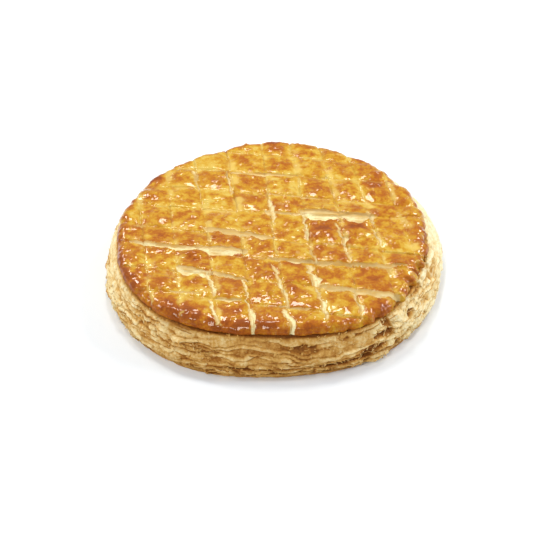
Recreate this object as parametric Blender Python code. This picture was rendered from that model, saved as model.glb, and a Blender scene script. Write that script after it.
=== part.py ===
"""Galette des rois: a round puff pastry tart, whole and uncut, as one closed solid.

The base is flat. The side swells out near the foot and is ridged by the leaves of the
laminated dough. The smaller glazed lid stands on it as a rolled lip, and its flat top
is puffed between two sets of knife cuts that cross as a slanted lattice.

Axes: +Z up, origin at the middle of the foot. The cuts called "across" run nearly
along X, and those called "away" nearly along Y.
"""

import math

import bmesh
import bpy
import numpy as np

# Driving dimensions, in metres.
WIDTH = 0.262  # across the widest leaves, on average
HEIGHT = 0.0355  # foot to the plateau of the lid, before the puff between cuts
LIP_HEIGHT = 0.0300  # foot to the outer edge of the lid
LID_RADIUS = 0.1160
LID_SHIFT = (-0.0018, -0.0018)  # the lid sits a little towards the front left

# The side.
FOOT_INSET = 0.0050  # how far the foot's edge lies inside the widest leaves
BELLY_HEIGHT = 0.0085  # where the side is widest
LEAVES = 9
LEAF_RELIEF = 0.0014  # how far a leaf's crest stands out from the gap under it
LEAF_WANDER = 0.0007  # how far a leaf rises and falls round the tart
FIRST_LEAF_HEIGHT = 0.0009  # the foot's bevelled edge ends here
FOOT_BEVEL = 0.0010  # and is this much smaller across at the board
LIP_OVERHANG = 0.0012  # how far the lid's rolled edge stands out over the leaves
LIP_GAP = 0.0035  # the leaves end this far under the lip's height
# The rolled edge's profile, upwards: out from the leaves, height from LIP_HEIGHT.
LIP_PROFILE = ((0.0012, -0.0027), (0.0026, -0.0012), (0.0022, 0.0012), (-0.0010, 0.0042))
AROUND = 118  # facets round the tart

# Where the outlines are fuller than a circle, or flatter: bearing and half width in
# degrees, and how far out in metres.
SIDE_SWELLS = (
    (-132, 27, 0.0045),
    (-82, 25, -0.0020),
    (-13, 24, -0.0035),
    (38, 24, 0.0040),
    (78, 18, -0.0020),
    (115, 20, 0.0025),
    (168, 22, -0.0045),
)
LID_SWELLS = (
    (-145, 28, 0.0040),
    (-92, 20, -0.0065),
    (-50, 20, 0.0035),
    (70, 25, 0.0010),
    (118, 18, -0.0035),
    (175, 20, 0.0010),
)
# Folds and hollows where leaves have parted: bearing and half width in degrees,
# height and half height in metres, and how far the dough is pushed out.
FOLDS = (
    (-79, 6, 0.0215, 0.0030, -0.0020),
    (-66, 13, 0.0085, 0.0020, -0.0020),
    (-57, 5, 0.0130, 0.0035, -0.0026),
    (-55, 8, 0.0045, 0.0030, 0.0014),
    (-38, 7, 0.0160, 0.0040, 0.0012),
    (118, 10, 0.0110, 0.0020, -0.0016),
    (24, 12, 0.0180, 0.0030, -0.0012),
)

# The lid's surface.
ROLL_WIDTH = 0.0130  # the lid's edge rolls down over this width
ROLL_FOOT = 0.0280  # to this height over the foot
PUFF = 0.0013  # how far the dough rises in the middle of a cell
CUT_WIDTH = 0.0030
CUT_DEPTH = 0.0017
ACROSS_SLANT = math.radians(-8.4)
AWAY_SLANT = math.radians(97.1)
# Each cut's distance from the middle at its start, its middle and its end, in millimetres.
ACROSS_CUTS_MM = (
    (-92, -92, -92),
    (-64, -67, -69),
    (-39, -40, -42),
    (-15, -17, -27),
    (11, 14, 15),
    (33, 37, 34),
    (59, 62, 66),
    (84, 87, 91),
)
AWAY_CUTS_MM = (
    (-99, -100, -104),
    (-79, -77, -79),
    (-52, -52, -54),
    (-28, -27, -27),
    (-3, -2, 2),
    (23, 24, 25),
    (48, 50, 48),
    (75, 74, 69),
    (99, 96, 90),
)
CUT_REACH = 0.095  # the start and the end that those distances are measured at
CUT_PITCH = 0.025  # about how far apart the cuts lie

# The block that gives the lid its surface.
OUTER_RANKS = (-2.2, 1.2)  # how many pitches it runs before the first and past the last cut
SKIRT_HEIGHT = -0.010  # its underside, clear below the foot
CLEAR_ABOVE = 0.012  # how far the body it trims reaches over the lid's plateau

WELD = 1e-6  # points this close are one point
CRUST_COLOUR = (0.72, 0.45, 0.17, 1.0)
CRUST_ROUGHNESS = 0.5


def bell(angle, middle, half):
    """1 at the middle bearing, falling off on both sides as exp of minus distance squared."""
    turn = (np.degrees(angle) - middle + 180) % 360 - 180
    return np.exp(-((turn / half) ** 2))


def swells(angle, table):
    """How far an outline stands out at an angle: a sum of bells round the tart."""
    return sum(out * bell(angle, middle, half) for middle, half, out in table)


def bent(offsets_mm, along):
    """A cut's distance from the middle: the parabola through its start, middle and end."""
    start, middle, end = (value / 1000 for value in offsets_mm)
    t = along / CUT_REACH
    return middle + (end - start) / 2 * t + ((start + end) / 2 - middle) * t * t


def rank_offset(rank, along, table):
    """Distance from the middle of the line that lies rank cuts along, whole ranks being cuts."""
    rows = np.array([bent(row, along) for row in table])
    low = np.clip(np.floor(rank).astype(int), 0, len(table) - 2)
    each = np.arange(len(along))
    return rows[low, each] + (rank - low) * (rows[low + 1, each] - rows[low, each])


def lattice_points(across_rank, away_rank):
    """Points (x, y) at the given ranks of both sets of cuts, by repeated substitution."""
    across_way = np.array([math.cos(ACROSS_SLANT), math.sin(ACROSS_SLANT)])
    away_way = np.array([math.cos(AWAY_SLANT), math.sin(AWAY_SLANT)])
    across_normal = np.array([across_way[1], -across_way[0]])
    away_normal = np.array([away_way[1], -away_way[0]])
    solve = np.linalg.inv(np.array([across_normal, away_normal]))
    points = np.zeros((len(across_rank), 2))
    for _ in range(8):
        wanted = np.stack(
            [
                rank_offset(across_rank, points @ across_way, ACROSS_CUTS_MM),
                rank_offset(away_rank, points @ away_way, AWAY_CUTS_MM),
            ]
        )
        points = (solve @ wanted).T
    return points


def rank_lines(count):
    """Ranks of the grid lines: both edges and the floor of each cut, and each cell's middle."""
    edge = CUT_WIDTH / 2 / CUT_PITCH
    ranks = [-0.5]
    for cut in range(count):
        ranks += [cut - edge, cut, cut + edge, cut + 0.5]
    return np.array([OUTER_RANKS[0], *ranks, count + OUTER_RANKS[1]])


def lid_height(across_rank, away_rank, points):
    """The lid's surface: plateau, rolled edge, puffed cells and V-shaped cuts."""
    shifted = points - np.array(LID_SHIFT)
    angle = np.arctan2(shifted[:, 1], shifted[:, 0])
    radius = np.hypot(shifted[:, 0], shifted[:, 1])
    edge = LID_RADIUS + swells(angle, LID_SWELLS)
    inward = np.clip((edge - radius) / ROLL_WIDTH, 0, 1)
    roll = np.sqrt(1 - (1 - inward) ** 2)
    height = ROLL_FOOT + (HEIGHT - ROLL_FOOT) * roll
    for rank, table in ((across_rank, ACROSS_CUTS_MM), (away_rank, AWAY_CUTS_MM)):
        real = (rank > -0.2) & (rank < len(table) - 0.8)
        on_floor = np.abs(rank - np.round(rank)) < 1e-6
        height -= np.where(real & on_floor, CUT_DEPTH, 0) * (0.4 + 0.6 * roll)
    middle = [np.abs(rank - np.floor(rank) - 0.5) < 1e-6 for rank in (across_rank, away_rank)]
    return height + PUFF * roll * (0.5 * middle[0] + 0.5 * middle[1])


def make_lid_form():
    """A block whose top is the lid's surface: a grid along both sets of cuts, skirted down."""
    ranks = rank_lines(len(ACROSS_CUTS_MM)), rank_lines(len(AWAY_CUTS_MM))
    bm = bmesh.new()
    bmesh.ops.create_grid(bm, x_segments=len(ranks[1]) - 1, y_segments=len(ranks[0]) - 1, size=1)
    bm.verts.ensure_lookup_table()
    unit = np.array([vertex.co[:2] for vertex in bm.verts])
    column = np.round((unit[:, 0] + 1) / 2 * (len(ranks[1]) - 1)).astype(int)
    row = np.round((1 - unit[:, 1]) / 2 * (len(ranks[0]) - 1)).astype(int)
    across_rank, away_rank = ranks[0][row], ranks[1][column]
    points = lattice_points(across_rank, away_rank)
    heights = lid_height(across_rank, away_rank, points)
    for vertex, (x, y), z in zip(bm.verts, points, heights):
        vertex.co = (x, y, z)
    rim = [edge for edge in bm.edges if edge.is_boundary]
    skirt = bmesh.ops.extrude_edge_only(bm, edges=rim)["geom"]
    for vertex in (item for item in skirt if isinstance(item, bmesh.types.BMVert)):
        vertex.co.z = SKIRT_HEIGHT
    bmesh.ops.holes_fill(bm, edges=[edge for edge in bm.edges if edge.is_boundary])
    bmesh.ops.recalc_face_normals(bm, faces=bm.faces)
    mesh = bpy.data.meshes.new("lid_form")
    bm.to_mesh(mesh)
    bm.free()
    form = bpy.data.objects.new("lid_form", mesh)
    form.hide_render = True
    form.display_type = "WIRE"
    return form


def side_profile():
    """(radius less the outline's, height, share of the lid's outline) from foot to over the lid."""
    top = LIP_HEIGHT - LIP_GAP
    rows = [(-FOOT_INSET - FOOT_BEVEL, 0.0, 0.0)]
    taper = WIDTH / 2 - (LID_RADIUS - LIP_OVERHANG)
    for step in range(2 * LEAVES + 1):
        share = step / (2 * LEAVES)
        height = FIRST_LEAF_HEIGHT + (top - FIRST_LEAF_HEIGHT) * share
        if height < BELLY_HEIGHT:
            inset = FOOT_INSET * (1 - height / BELLY_HEIGHT) ** 2
        else:
            climb = (height - BELLY_HEIGHT) / (top - BELLY_HEIGHT)
            inset = taper * (0.35 * climb + 0.65 * climb**2)
        crest = LEAF_RELIEF * (0.4 if step % 2 else -0.6)
        rows.append((-inset + crest, height, share))
    rows += [(out - taper, LIP_HEIGHT + rise, 1.0) for out, rise in LIP_PROFILE]
    return rows


def make_body():
    """The side and the foot: the profile spun round, then swollen and rippled facet by facet."""
    rows = side_profile()
    bm = bmesh.new()
    line = [bm.verts.new((WIDTH / 2 + out, 0, height)) for out, height, _ in rows]
    foot = bm.verts.new((0, 0, 0))
    over = bm.verts.new((0, 0, HEIGHT + CLEAR_ABOVE))
    brim = bm.verts.new((WIDTH / 2 + rows[-1][0] - ROLL_WIDTH, 0, HEIGHT + CLEAR_ABOVE))
    chain = [foot, *line, brim, over]
    edges = [bm.edges.new(pair) for pair in zip(chain, chain[1:])]
    bmesh.ops.spin(
        bm,
        geom=chain + edges,
        axis=(0, 0, 1),
        cent=(0, 0, 0),
        angle=math.tau,
        steps=AROUND,
        use_merge=True,
    )
    bmesh.ops.remove_doubles(bm, verts=bm.verts, dist=WELD)
    share_at = np.array([[height, share] for _, height, share in rows])
    for vertex in bm.verts:
        shape_side(vertex, share_at)
    bmesh.ops.recalc_face_normals(bm, faces=bm.faces)
    mesh = bpy.data.meshes.new("galette")
    bm.to_mesh(mesh)
    bm.free()
    return bpy.data.objects.new("galette", mesh)


def fold_push(angle, z, bearing, half_width, height, half_height, push):
    """One fold's push on the side: a bell over bearing and height."""
    return push * bell(angle, bearing, half_width) * math.exp(-(((z - height) / half_height) ** 2))


def shape_side(vertex, share_at):
    """Moves one point of the turned side to its place on the uneven outline."""
    x, y, z = vertex.co
    radius = math.hypot(x, y)
    if radius < WELD:
        return
    angle = math.atan2(y, x)
    share = float(np.interp(z, share_at[:, 0], share_at[:, 1]))
    swell = (1 - share) * swells(angle, SIDE_SWELLS) + share * swells(angle, LID_SWELLS)
    if FIRST_LEAF_HEIGHT / 2 < z <= LIP_HEIGHT - LIP_GAP + WELD:
        swell += sum(fold_push(angle, z, *fold) for fold in FOLDS)
        leaf = math.floor(LEAVES * share)
        fade = math.sin(math.pi * share)
        swell += LEAF_RELIEF / 2 * fade * math.sin((6 + leaf) * angle + 2.1 * leaf)
        z += LEAF_WANDER * fade * math.sin(5 * angle + 0.8 * LEAVES * share)
    radius += swell
    shift = share**2
    vertex.co = (
        radius * math.cos(angle) + LID_SHIFT[0] * shift,
        radius * math.sin(angle) + LID_SHIFT[1] * shift,
        z,
    )


def crust_material():
    """Baked, glazed puff pastry."""
    material = bpy.data.materials.new("crust")
    material.use_nodes = True
    shader = material.node_tree.nodes["Principled BSDF"]
    shader.inputs["Base Color"].default_value = CRUST_COLOUR
    shader.inputs["Roughness"].default_value = CRUST_ROUGHNESS
    shader.inputs["Metallic"].default_value = 0.0
    return material


def centre_on_origin(body, form):
    """Moves the tart and its lid form so that the middle of the tart's box is at x = y = 0."""
    places = np.array([vertex.co[:2] for vertex in body.data.vertices])
    middle = (places.min(axis=0) + places.max(axis=0)) / 2
    for piece in (body, form):
        for vertex in piece.data.vertices:
            vertex.co.x -= middle[0]
            vertex.co.y -= middle[1]


def main():
    for obj in list(bpy.data.objects):
        bpy.data.objects.remove(obj)
    pastry = bpy.data.collections.new("galette_des_rois")
    cutters = bpy.data.collections.new("cutters")
    for collection in (pastry, cutters):
        bpy.context.scene.collection.children.link(collection)
    body = make_body()
    form = make_lid_form()
    centre_on_origin(body, form)
    pastry.objects.link(body)
    cutters.objects.link(form)
    body.data.materials.append(crust_material())
    lid = body.modifiers.new("lid", "BOOLEAN")
    lid.operation = "INTERSECT"
    lid.solver = "EXACT"
    lid.object = form


main()
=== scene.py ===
"""The looks of a whole galette des rois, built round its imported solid.

The tart is a glazed lid with a rolled brown edge, scored by two sets of knife cuts, on a
pale side of puff pastry leaves that stands on a browned base. Shapes are worked out in
millimetres in the solid's frame: +Z up, +X right, -Y towards the viewer. Bearings turn
from +X towards +Y.
"""

import math

import bpy
import numpy as np
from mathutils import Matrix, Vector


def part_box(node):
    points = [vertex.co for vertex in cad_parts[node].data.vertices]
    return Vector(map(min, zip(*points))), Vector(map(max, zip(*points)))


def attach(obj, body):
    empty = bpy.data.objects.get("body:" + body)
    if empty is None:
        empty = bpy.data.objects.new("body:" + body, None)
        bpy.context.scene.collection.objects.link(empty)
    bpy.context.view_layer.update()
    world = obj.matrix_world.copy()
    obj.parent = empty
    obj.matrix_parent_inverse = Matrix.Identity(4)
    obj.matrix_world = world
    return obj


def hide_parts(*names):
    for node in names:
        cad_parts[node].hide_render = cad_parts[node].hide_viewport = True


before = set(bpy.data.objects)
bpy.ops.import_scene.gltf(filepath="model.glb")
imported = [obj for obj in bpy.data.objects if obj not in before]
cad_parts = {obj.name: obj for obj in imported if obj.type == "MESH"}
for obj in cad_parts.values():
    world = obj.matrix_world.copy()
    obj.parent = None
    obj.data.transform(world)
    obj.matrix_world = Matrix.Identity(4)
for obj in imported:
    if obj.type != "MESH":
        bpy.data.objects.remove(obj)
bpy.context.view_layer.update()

MM = 0.001
low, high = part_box("galette")

# The tart's plan, in millimetres. The origin is the middle of the solid's box.
FLAT_STRETCHES = 1.4  # what the side's flatter stretches take off the box
SIDE_RADIUS = (high.x - low.x) / 2 / MM + FLAT_STRETCHES
LID_INSET = 15.0
LID_RADIUS = SIDE_RADIUS - LID_INSET
PLAN_CENTRE = (-0.12, -0.90)
LID_SHIFT = -1.8  # the lid sits a little to the left and to the front
LID_CENTRE = (PLAN_CENTRE[0] + LID_SHIFT, PLAN_CENTRE[1] + LID_SHIFT)
# Where the outlines are fuller than a circle, or flatter: bearing and half width in
# degrees, and how far out in mm.
SIDE_SWELLS = (
    (-132, 27, 4.5),
    (-86, 22, -3.5),
    (-13, 24, -3.5),
    (38, 24, 4.0),
    (78, 18, -2.0),
    (115, 20, 2.5),
    (168, 22, -4.5),
)
LID_SWELLS = (
    (-145, 28, 4.0),
    (-92, 20, -6.5),
    (-50, 20, 3.5),
    (70, 25, 1.0),
    (118, 18, -3.5),
    (175, 20, 1.0),
)

# Heights over the board, in millimetres.
PUFF_ROOM = 1.3  # what the puff between cuts takes of the solid's height
LID_TOP = high.z / MM - PUFF_ROOM
LIP_MIDDLE = 30.6  # where the rolled edge stands out furthest
LIP_BOTTOM = 28.6
LIP_WAVE = 0.7  # how far the rolled edge rises and dips
LEAVES_TOP = 28.4
LEAVES_FOOT = 0.9
BELLY = 8.5  # where the side is widest
FOOT_INSET = 5.0
FOOT_CAPS = ((8.0, 0.5), (1.0, 0.4))  # rings hidden under the foot: inset and height
TOP_CAP = (3.0, 29.2)  # and the one hidden under the lid
BOARD_GAP = 0.1  # nothing loose hangs lower than this

# The lid's grid: its outer rings run down the rolled edge, under it and in to a hidden cap.
LID_RINGS = 155
ROLL_RINGS = 13
TUCK_RINGS = 7
CAP_RINGS = 2
FLAT_RINGS = LID_RINGS - ROLL_RINGS - TUCK_RINGS - CAP_RINGS

# The lid.
ROLL_WIDTH = 6.5  # the edge rolls down over this width
TUCK_WIDTH = 3.5  # and tucks back under by this much
CAP_INSET = 16.0  # the hidden underside closes this far in from the edge
PUFF = 1.2  # how high the crust puffs up between cuts
CELL_TILT = 1.7  # how far the crust between cuts may lean
CUT_HALF_WIDTH = 0.95
CUT_DEPTH = 1.1
CUT_SHOULDER = 3.2  # a cut's pull on what lies beside it dies away over this distance
RIM_NOTCH = 0.8  # how far a cut bites into the edge that it runs out over
ACROSS_SLANT = math.radians(-8.4)
AWAY_SLANT = math.radians(97.1)
CUT_REACH = 95.0
# Each cut's distance from the lattice's middle: CUT_REACH before its own middle, there, and
# CUT_REACH after it.
ACROSS_CUTS = (
    (-92, -92, -92),
    (-64, -67, -69),
    (-39, -40, -42),
    (-15, -17, -27),
    (11, 14, 15),
    (33, 37, 34),
    (59, 62, 66),
    (84, 87, 91),
)
AWAY_CUTS = (
    (-99, -100, -104),
    (-79, -77, -79),
    (-52, -52, -54),
    (-28, -27, -27),
    (-3, -2, 2),
    (23, 24, 25),
    (48, 50, 48),
    (75, 74, 69),
    (99, 96, 90),
)
ACROSS, AWAY = 0, 1
CUT_SETS = ((ACROSS_SLANT, ACROSS_CUTS), (AWAY_SLANT, AWAY_CUTS))
# Where a cut has gaped in the oven: the set and the cut, start and end along it, how far
# the gap lies from the cut's line at each end, its width, how far its far side is lifted,
# how far its near side is curled up, and how creamy its floor is (0 beige, 1 cream).
GASHES = (
    (ACROSS, 1, -52, 12, 0.0, -1.0, 3.6, 0.6, 0.3, 0.30),
    (ACROSS, 2, -10, 30, -1.0, 0.0, 1.8, 0.3, 0.2, 0.30),
    (ACROSS, 3, -12, 22, -2.5, -1.5, 4.2, 0.6, 0.4, 0.75),
    (ACROSS, 3, 14, 75, -5.0, -1.0, 10.5, 2.8, 1.4, 1.00),
    (ACROSS, 4, -57, 4, -6.0, -2.5, 4.8, 0.9, 0.4, 0.35),
    (ACROSS, 5, -107, -50, -1.5, -4.0, 5.4, 1.0, 0.5, 1.00),
    (ACROSS, 5, -56, -15, -5.0, -7.5, 7.0, 1.4, 0.8, 1.00),
    (ACROSS, 5, -2, 50, -1.5, -2.0, 5.0, 0.9, 0.4, 0.40),
    (ACROSS, 5, 46, 104, -2.0, -4.0, 5.6, 1.2, 0.5, 0.35),
    (ACROSS, 6, -66, -38, -6.0, -2.0, 8.5, 1.8, 0.3, 1.00),
    (ACROSS, 6, -42, -8, -4.0, 0.5, 3.8, 0.7, 0.2, 0.45),
    (ACROSS, 6, 38, 101, -3.0, -4.5, 5.8, 1.0, 0.4, 0.35),
    (ACROSS, 7, -66, -40, -2.5, -4.0, 2.0, 0.4, 0.2, 0.40),
    (ACROSS, 7, -31, -11, -0.8, -1.5, 3.0, 0.6, 0.2, 0.55),
    (ACROSS, 7, 2, 40, 1.0, -2.5, 1.6, 0.4, 0.2, 0.60),
    (AWAY, 2, 54, 81, -1.0, -3.8, 3.2, 0.4, 0.2, 0.60),
    (AWAY, 2, -73, -45, -2.8, -5.5, 5.0, 0.7, 0.4, 0.70),
    (AWAY, 2, -101, -75, -2.5, -6.5, 4.6, 0.7, 0.5, 1.00),
    (AWAY, 3, 44, 77, -2.8, -3.5, 2.4, 0.4, 0.3, 0.55),
    (AWAY, 3, -92, -54, -2.5, -4.0, 2.0, 0.4, 0.3, 0.70),
    (AWAY, 3, -111, -88, -2.0, -2.0, 3.6, 0.5, 0.6, 1.00),
    (AWAY, 4, 2, 38, 1.5, -1.5, 3.4, 0.4, 0.3, 0.60),
    (AWAY, 4, -93, -40, 1.0, -6.5, 4.0, 0.6, 0.4, 0.75),
    (AWAY, 4, -117, -91, 0.5, -4.5, 5.0, 0.8, 0.3, 1.00),
    (AWAY, 5, -18, 12, -2.5, -2.5, 4.4, 0.8, 0.7, 1.00),
    (AWAY, 5, -48, -27, 2.0, -2.5, 3.4, 0.4, 0.3, 0.70),
    (AWAY, 5, -72, -46, -4.0, -8.0, 7.0, 0.6, 0.3, 1.00),
    (AWAY, 5, -106, -71, -0.5, -4.0, 3.6, 0.5, 0.3, 0.80),
    (AWAY, 6, -31, 0, -1.5, -5.5, 4.6, 1.0, 0.9, 1.00),
    (AWAY, 6, -48, -29, 0.5, -2.5, 2.8, 0.4, 0.2, 0.80),
    (AWAY, 6, -101, -81, 0.0, -4.0, 4.2, 0.5, 0.3, 0.85),
    (AWAY, 7, -6, 10, -1.0, -2.0, 2.2, 0.4, 0.3, 0.70),
    (AWAY, 7, -29, -9, 0.0, -2.5, 2.4, 0.5, 0.3, 0.85),
)
# Browned spots on the lid: x, y, half width along x, half width along y, and strength,
# which is below 0 where the crust is a little paler.
SCORCHES = (
    (35, -3, 13, 6, 0.42),
    (61, -2, 13, 5, 0.45),
    (11, -72, 7, 8, 0.40),
    (-61, -38, 13, 5, 0.36),
    (-8, -58, 9, 6, 0.30),
    (-90, 60, 13, 7, 0.42),
    (-36, 68, 12, 8, 0.26),
    (22, 92, 26, 6, 0.12),
    (80, 62, 18, 16, 0.24),
    (100, 10, 8, 16, 0.06),
    (-104, 2, 9, 13, 0.36),
    (-98, -24, 14, 12, 0.26),
    (94, -50, 11, 10, -0.02),
    (-20, -92, 40, 8, 0.20),
    (74, -88, 9, 6, 0.40),
)
# Tall bubbles under the glaze: x, y, half width along x, along y, height.
BUBBLES = (
    (-61, -33, 12, 8, 3.0),
    (60, -6, 15, 10, 1.8),
    (34, -8, 14, 10, 1.6),
    (13, -66, 8, 10, 1.8),
    (-8, -53, 10, 8, 1.4),
    (92, -50, 12, 11, 1.6),
    (-86, -66, 22, 12, 1.4),
    (102, 12, 9, 14, 1.6),
    (-98, 40, 12, 10, 1.8),
    (-40, 66, 12, 9, 1.5),
    (20, 60, 12, 12, 1.4),
)
BLISTERS = 420
# Stretches of the rolled edge, each a bearing and a half width in degrees.
RAGGED_RIM = (-26, 34)
SCALLOPED_RIM = (12, 44)
CRACKED_RIM = (-34, 26)
PEELED_RIM = (-8, 30)
# How brown the rolled edge is: bearing and half width in degrees, strength.
RIM_TOASTS = (
    (-130, 28, 0.64),
    (-98, 18, 0.50),
    (-174, 20, 0.30),
    (-52, 14, 0.16),
    (-4, 24, 0.12),
    (60, 34, 0.24),
    (104, 16, 0.16),
    (138, 16, 0.36),
    (164, 12, 0.26),
)

# The side.
LEAVES = 9
SIDE_COLUMNS = 1080
SIDE_ROWS = 80
LEAF_RELIEF = 1.6
LEAVES_SET_BACK = 1.4  # about how far inside the outline the leaves lie
TOP_LEAF_STANDS = 0.9  # how far the top leaf stands out past the lid's edge
RISEN_LEAF = 2.4  # how much higher the leaves reach on the risen stretch
RISEN_LEAN = 2.2  # and how many times further the top leaf stands out there
# Stretches of the side, each a bearing and a half width in degrees.
RISEN_STRETCH = (-14, 36)
PLAIN_STRETCH = (18, 28)  # smooth and hardly flaked
LIVELY_STRETCH = (-34, 34)  # with the strongest leaves
TORN_STRETCH = (-44, 26)
NICKED_STRETCH = (-5, 22)  # torn only a little
SHEET_STRETCH = (-84, 26)  # a smooth sheet above rough layers
LEFT_STRETCH = (174, 26)  # smooth too
# the front is browned most, partly as painted shade of the side turned from the lamps
FRONT_STRETCH = (-92, 50)  # the brownest
# Folds and hollows where leaves have parted: bearing and half width in degrees, height
# and half height in mm, and how far the dough is pushed out.
FOLDS = (
    (-80, 7, 21.0, 2.4, -0.9),
    (-92, 26, 9.0, 0.9, -1.8),
    (-62, 13, 8.5, 1.6, -2.6),
    (-57, 5, 13.0, 2.8, -3.2),
    (-55, 8, 4.5, 3.0, 1.6),
    (-38, 7, 16.0, 4.0, 1.4),
    (118, 10, 11.0, 2.0, -2.4),
    (24, 12, 18.0, 3.0, -1.8),
)
RIBBONS = 110
RIBBON_STEPS = 30
# A ribbon's section, corner by corner: how far out, as a share of the ribbon's reach, or
# below 0 as millimetres into the side; how high, as a share of its thickness; how browned.
RIBBON_SECTION = (
    (-2.5, -0.5, 0.0),
    (0.3, -0.6, 0.4),
    (1.0, -0.2, 1.0),
    (1.05, 0.2, 1.0),
    (0.3, 0.6, 0.4),
    (-2.5, 0.5, 0.0),
)
SCALES = 1700
TORN_SCALES = 0.08  # the share of them that gathers where leaves are torn
TORN_MIDDLE = (-42, 14)  # around this bearing, with this spread, in degrees
# A scale's half length, half width, half thickness and bend, each from least to most.
SCALE_SIZES = ((0.7, 2.4), (0.4, 1.0), (0.14, 0.35), (-0.3, 0.1))
FLAKE_SIDES = 7
FLAKE_RINGS = 3

# The underside.
BASE_RINGS = 90
BASE_EDGE_RINGS = 5
BASE_STANDS = 0.6  # how far it stands out past the foot
BASE_LIP = 1.2  # how wide its rounded edge is
BASE_THICKNESS = 1.7
BASE_CAP_INSET = 14.0


def turned_away(bearing, middle, half):
    """The square of how many half widths a bearing lies from the middle one."""
    turn = (np.degrees(bearing) - middle + 180) % 360 - 180
    return (turn / half) ** 2


def bell(bearing, middle, half):
    """1 at the middle bearing, falling off on both sides as exp of minus distance squared."""
    return np.exp(-turned_away(bearing, middle, half))


def sum_of_bells(bearing, table):
    """A sum of bells round the tart, each a middle bearing, a half width and a height."""
    return sum(height * bell(bearing, middle, half) for middle, half, height in table)


def step(value, start, end):
    """Smooth step from 0 at start to 1 at end: t squared times (3 - 2t)."""
    t = np.clip((value - start) / (end - start), 0, 1)
    return t * t * (3 - 2 * t)


def hashed(column, row, seed):
    """A fixed random number from 0 to 1 for each whole (column, row), by mixing their bits."""
    mask = np.uint64(0xFFFFFFFF)
    key = column.astype(np.int64).astype(np.uint64) * np.uint64(0x9E3779B1)
    key += row.astype(np.int64).astype(np.uint64) * np.uint64(0x85EBCA77)
    key = (key + np.uint64(seed * 0xC2B2AE3D)) & mask
    for shift, factor in ((15, 0x2C1B3C6D), (12, 0x297A2D39), (15, 0x1B56C4E9)):
        key = ((key ^ (key >> np.uint64(shift))) * np.uint64(factor)) & mask
    return (key ^ (key >> np.uint64(16))).astype(float) / 0xFFFFFFFF


def noise(u, v, seed, period=None):
    """Value noise from -1 to 1: random corners of a unit grid, blended by a smooth fade.

    With a period, the pattern comes round to its start after that many units of u.
    """
    u, v = np.broadcast_arrays(np.asarray(u, float), np.asarray(v, float))
    left, under = np.floor(u), np.floor(v)
    across, up = u - left, v - under
    across, up = (t * t * t * (t * (6 * t - 15) + 10) for t in (across, up))
    columns = [left, left + 1]
    if period:
        columns = [column % period for column in columns]
    corners = [[hashed(column, row, seed) for column in columns] for row in (under, under + 1)]
    rows = [pair[0] + (pair[1] - pair[0]) * across for pair in corners]
    return (rows[0] + (rows[1] - rows[0]) * up) * 2 - 1


def layered_noise(u, v, seed, octaves=3, period=None):
    """Value noise at several scales, each twice as fine and half as strong as the last."""
    total, height = 0.0, 0.0
    for octave in range(octaves):
        fine = 2**octave
        total = total + noise(u * fine, v * fine, seed + octave, period and period * fine) / fine
        height += 1 / fine
    return total / height


def pillows(u, v, seed, period=None):
    """Rounded pillows with sharp creases between them: twice the size of value noise."""
    return 2 * np.abs(noise(u, v, seed, period)) - 0.6


def mesh_object(name, points, faces, smooth=True):
    """An object in millimetre points, with its place in its mesh."""
    mesh = bpy.data.meshes.new(name)
    mesh.from_pydata((points * MM).tolist(), [], faces)
    mesh.polygons.foreach_set("use_smooth", np.full(len(mesh.polygons), smooth))
    mesh.update()
    piece = bpy.data.objects.new(name, mesh)
    bpy.context.scene.collection.objects.link(piece)
    return piece


def add_attribute(piece, name, values):
    """A number for each point of the piece, which its material reads by name."""
    attribute = piece.data.attributes.new(name, "FLOAT", "POINT")
    attribute.data.foreach_set("value", np.clip(values, 0, 1).astype(np.float32).ravel())


def around(centre, radius, bearing):
    """The place in plan at a radius and a bearing from a centre."""
    return centre[0] + radius * np.cos(bearing), centre[1] + radius * np.sin(bearing)


def disc_grid(rings):
    """A square grid wrapped onto a disc, so that each square ring becomes a circle.

    Returns each point's ring from 0 to rings, its bearing, the quads, and the outermost
    ring's points in order. A point (a, b) of the square goes to the circle of radius
    max(|a|, |b|), at a bearing that runs evenly along each of the square's sides.
    """
    line = np.arange(-rings, rings + 1)
    a, b = (grid.ravel().astype(float) for grid in np.meshgrid(line, line))
    ring = np.maximum(np.abs(a), np.abs(b))
    reach = np.where(ring > 0, ring, 1)
    beside = np.where(a < 0, math.pi, 0) + math.pi / 4 * b / np.where(a < 0, -reach, reach)
    ahead = np.where(b < 0, -1, 1) * math.pi / 2 - math.pi / 4 * a / np.where(b < 0, -reach, reach)
    bearing = np.where(np.abs(a) >= np.abs(b), beside, ahead)
    side = 2 * rings + 1
    corner = (np.arange(side - 1)[:, None] * side + np.arange(side - 1)).ravel()
    quads = np.stack([corner, corner + 1, corner + side + 1, corner + side], axis=1)
    border = np.nonzero(ring == rings)[0]
    border = border[np.argsort(bearing[border] % math.tau)]
    return ring, bearing, quads.tolist(), border.tolist()


def tube_quads(rows, columns):
    """Quads of a grid of rows that each run once round and close on themselves."""
    row, column = np.meshgrid(np.arange(rows - 1), np.arange(columns), indexing="ij")
    after = (column + 1) % columns
    quads = [row * columns + column, row * columns + after]
    quads += [(row + 1) * columns + after, (row + 1) * columns + column]
    return np.stack(quads, axis=-1).reshape(-1, 4).tolist()


def repeated_faces(faces, points, count):
    """The faces of many like parts, each with that many points, one after another."""
    return [[part * points + corner for corner in face] for part in range(count) for face in faces]


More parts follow.
